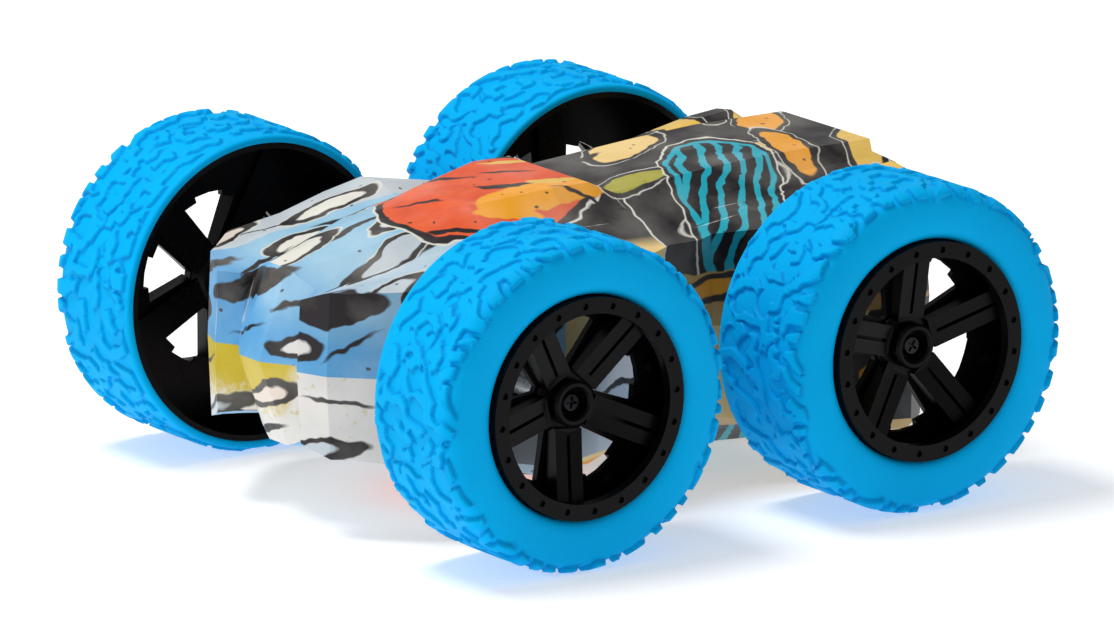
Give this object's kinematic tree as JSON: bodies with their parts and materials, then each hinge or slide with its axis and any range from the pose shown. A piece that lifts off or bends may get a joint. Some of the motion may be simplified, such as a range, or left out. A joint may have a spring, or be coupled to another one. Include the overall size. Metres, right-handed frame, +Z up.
{
  "type": "radio-controlled stunt car",
  "caption": "Double-sided radio-controlled stunt car: faceted two-shell body, oversize knobbly tyres on deep-dish rims, and a geared drive on each side.",
  "frame": {"origin": "centre of the car, midway between the four wheels on the axle line, which is also where the two shells part", "axes": "+X forward (towards the low nose), +Y to the car's left along the axles, +Z up"},
  "size_m": [0.2004, 0.194, 0.09],
  "materials": {
    "tyre_rubber": "matte, moulded tread",
    "rim_plastic": "satin black moulded plastic",
    "printed_shell": "multi-coloured abstract street-art print under a semi-gloss coat",
    "steel": "bright",
    "black_steel": "black oxide",
    "motor_steel": "plated, satin",
    "brass": "machined",
    "gear_nylon": "natural nylon",
    "frame_plastic": "moulded black plastic",
    "battery_wrap": "heat-shrink wrap",
    "wire_red": "insulated wire",
    "wire_black": "insulated wire",
    "board": "solder mask",
    "switch_plastic": "moulded black plastic"
  },
  "bodies": {
    "chassis": {"upper_shell": "printed_shell", "lower_shell": "printed_shell", "battery_door": "printed_shell", "battery_door_screw": "steel", "shell_screws": "steel", "axle_bushes": "brass", "gear_pins_left": "steel", "gear_pins_right": "steel", "gearbox_frame_left": "frame_plastic", "gearbox_frame_right": "frame_plastic", "gearbox_cover_left": "frame_plastic", "gearbox_cover_right": "frame_plastic", "motor_can_left": "motor_steel", "motor_can_right": "motor_steel", "battery_pack": "battery_wrap", "battery_lead": "wire_red", "motor_lead_left": "wire_black", "motor_lead_right": "wire_black", "circuit_board": "board", "aerial_wire": "wire_black", "power_switch_case": "switch_plastic"},
    "wheel_front_left": {"tyre_front_left": "tyre_rubber", "rim_front_left": "rim_plastic", "hub_cap_front_left": "rim_plastic", "wheel_screw_front_left": "black_steel", "axle_front_left": "steel", "axle_gear_front_left": "gear_nylon"},
    "idler_front_left": {"idler_gear_front_left": "gear_nylon"},
    "wheel_rear_left": {"tyre_rear_left": "tyre_rubber", "rim_rear_left": "rim_plastic", "hub_cap_rear_left": "rim_plastic", "wheel_screw_rear_left": "black_steel", "axle_rear_left": "steel", "axle_gear_rear_left": "gear_nylon"},
    "idler_rear_left": {"idler_gear_rear_left": "gear_nylon"},
    "centre_left": {"centre_gear_left": "gear_nylon"},
    "cluster_left": {"cluster_gear_left": "gear_nylon"},
    "rotor_left": {"motor_shaft_left": "steel", "motor_pinion_left": "brass"},
    "wheel_front_right": {"tyre_front_right": "tyre_rubber", "rim_front_right": "rim_plastic", "hub_cap_front_right": "rim_plastic", "wheel_screw_front_right": "black_steel", "axle_front_right": "steel", "axle_gear_front_right": "gear_nylon"},
    "idler_front_right": {"idler_gear_front_right": "gear_nylon"},
    "wheel_rear_right": {"tyre_rear_right": "tyre_rubber", "rim_rear_right": "rim_plastic", "hub_cap_rear_right": "rim_plastic", "wheel_screw_rear_right": "black_steel", "axle_rear_right": "steel", "axle_gear_rear_right": "gear_nylon"},
    "idler_rear_right": {"idler_gear_rear_right": "gear_nylon"},
    "centre_right": {"centre_gear_right": "gear_nylon"},
    "cluster_right": {"cluster_gear_right": "gear_nylon"},
    "rotor_right": {"motor_shaft_right": "steel", "motor_pinion_right": "brass"},
    "switch_knob": {"power_switch_knob": "switch_plastic"}
  },
  "joints": [
    {"name": "wheel_front_left_spin", "type": "hinge", "parent": "chassis", "child": "wheel_front_left", "pos_m": [0.0552, 0.08, 0], "axis": [0, 1, 0], "continuous": true},
    {"name": "idler_front_left_spin", "type": "hinge", "parent": "chassis", "child": "idler_front_left", "pos_m": [0.0296, 0.033, 0], "axis": [0, 1, 0], "continuous": true},
    {"name": "wheel_rear_left_spin", "type": "hinge", "parent": "chassis", "child": "wheel_rear_left", "pos_m": [-0.0552, 0.08, 0], "axis": [0, 1, 0], "continuous": true},
    {"name": "idler_rear_left_spin", "type": "hinge", "parent": "chassis", "child": "idler_rear_left", "pos_m": [-0.0296, 0.033, 0], "axis": [0, 1, 0], "continuous": true},
    {"name": "centre_left_spin", "type": "hinge", "parent": "chassis", "child": "centre_left", "pos_m": [0, 0.033, 0], "axis": [0, 1, 0], "continuous": true},
    {"name": "cluster_left_spin", "type": "hinge", "parent": "chassis", "child": "cluster_left", "pos_m": [-0.00952, 0.033, 0.01759], "axis": [0, 1, 0], "continuous": true},
    {"name": "rotor_left_spin", "type": "hinge", "parent": "chassis", "child": "rotor_left", "pos_m": [-0.02077, 0.029, 0.01759], "axis": [0, 1, 0], "continuous": true},
    {"name": "wheel_front_right_spin", "type": "hinge", "parent": "chassis", "child": "wheel_front_right", "pos_m": [0.0552, -0.08, 0], "axis": [0, 1, 0], "continuous": true},
    {"name": "idler_front_right_spin", "type": "hinge", "parent": "chassis", "child": "idler_front_right", "pos_m": [0.0296, -0.033, 0], "axis": [0, 1, 0], "continuous": true},
    {"name": "wheel_rear_right_spin", "type": "hinge", "parent": "chassis", "child": "wheel_rear_right", "pos_m": [-0.0552, -0.08, 0], "axis": [0, 1, 0], "continuous": true},
    {"name": "idler_rear_right_spin", "type": "hinge", "parent": "chassis", "child": "idler_rear_right", "pos_m": [-0.0296, -0.033, 0], "axis": [0, 1, 0], "continuous": true},
    {"name": "centre_right_spin", "type": "hinge", "parent": "chassis", "child": "centre_right", "pos_m": [0, -0.033, 0], "axis": [0, 1, 0], "continuous": true},
    {"name": "cluster_right_spin", "type": "hinge", "parent": "chassis", "child": "cluster_right", "pos_m": [0.00952, -0.033, 0.01759], "axis": [0, 1, 0], "continuous": true},
    {"name": "rotor_right_spin", "type": "hinge", "parent": "chassis", "child": "rotor_right", "pos_m": [0.02077, -0.029, 0.01759], "axis": [0, 1, 0], "continuous": true},
    {"name": "power_switch_slide", "type": "slide", "parent": "chassis", "child": "switch_knob", "axis": [0, 1, 0], "range_m": [0, 0.003]}
  ],
  "couplings": [
    {"joint": "wheel_rear_left_spin", "follows": "wheel_front_left_spin", "ratio": 1},
    {"joint": "idler_front_left_spin", "follows": "wheel_front_left_spin", "ratio": -0.77778},
    {"joint": "idler_rear_left_spin", "follows": "wheel_front_left_spin", "ratio": -0.77778},
    {"joint": "centre_left_spin", "follows": "wheel_front_left_spin", "ratio": 0.73684},
    {"joint": "cluster_left_spin", "follows": "wheel_front_left_spin", "ratio": -2.3333},
    {"joint": "rotor_left_spin", "follows": "wheel_front_left_spin", "ratio": 9.3333},
    {"joint": "wheel_rear_right_spin", "follows": "wheel_front_right_spin", "ratio": 1},
    {"joint": "idler_front_right_spin", "follows": "wheel_front_right_spin", "ratio": -0.77778},
    {"joint": "idler_rear_right_spin", "follows": "wheel_front_right_spin", "ratio": -0.77778},
    {"joint": "centre_right_spin", "follows": "wheel_front_right_spin", "ratio": 0.73684},
    {"joint": "cluster_right_spin", "follows": "wheel_front_right_spin", "ratio": -2.3333},
    {"joint": "rotor_right_spin", "follows": "wheel_front_right_spin", "ratio": 9.3333}
  ]
}
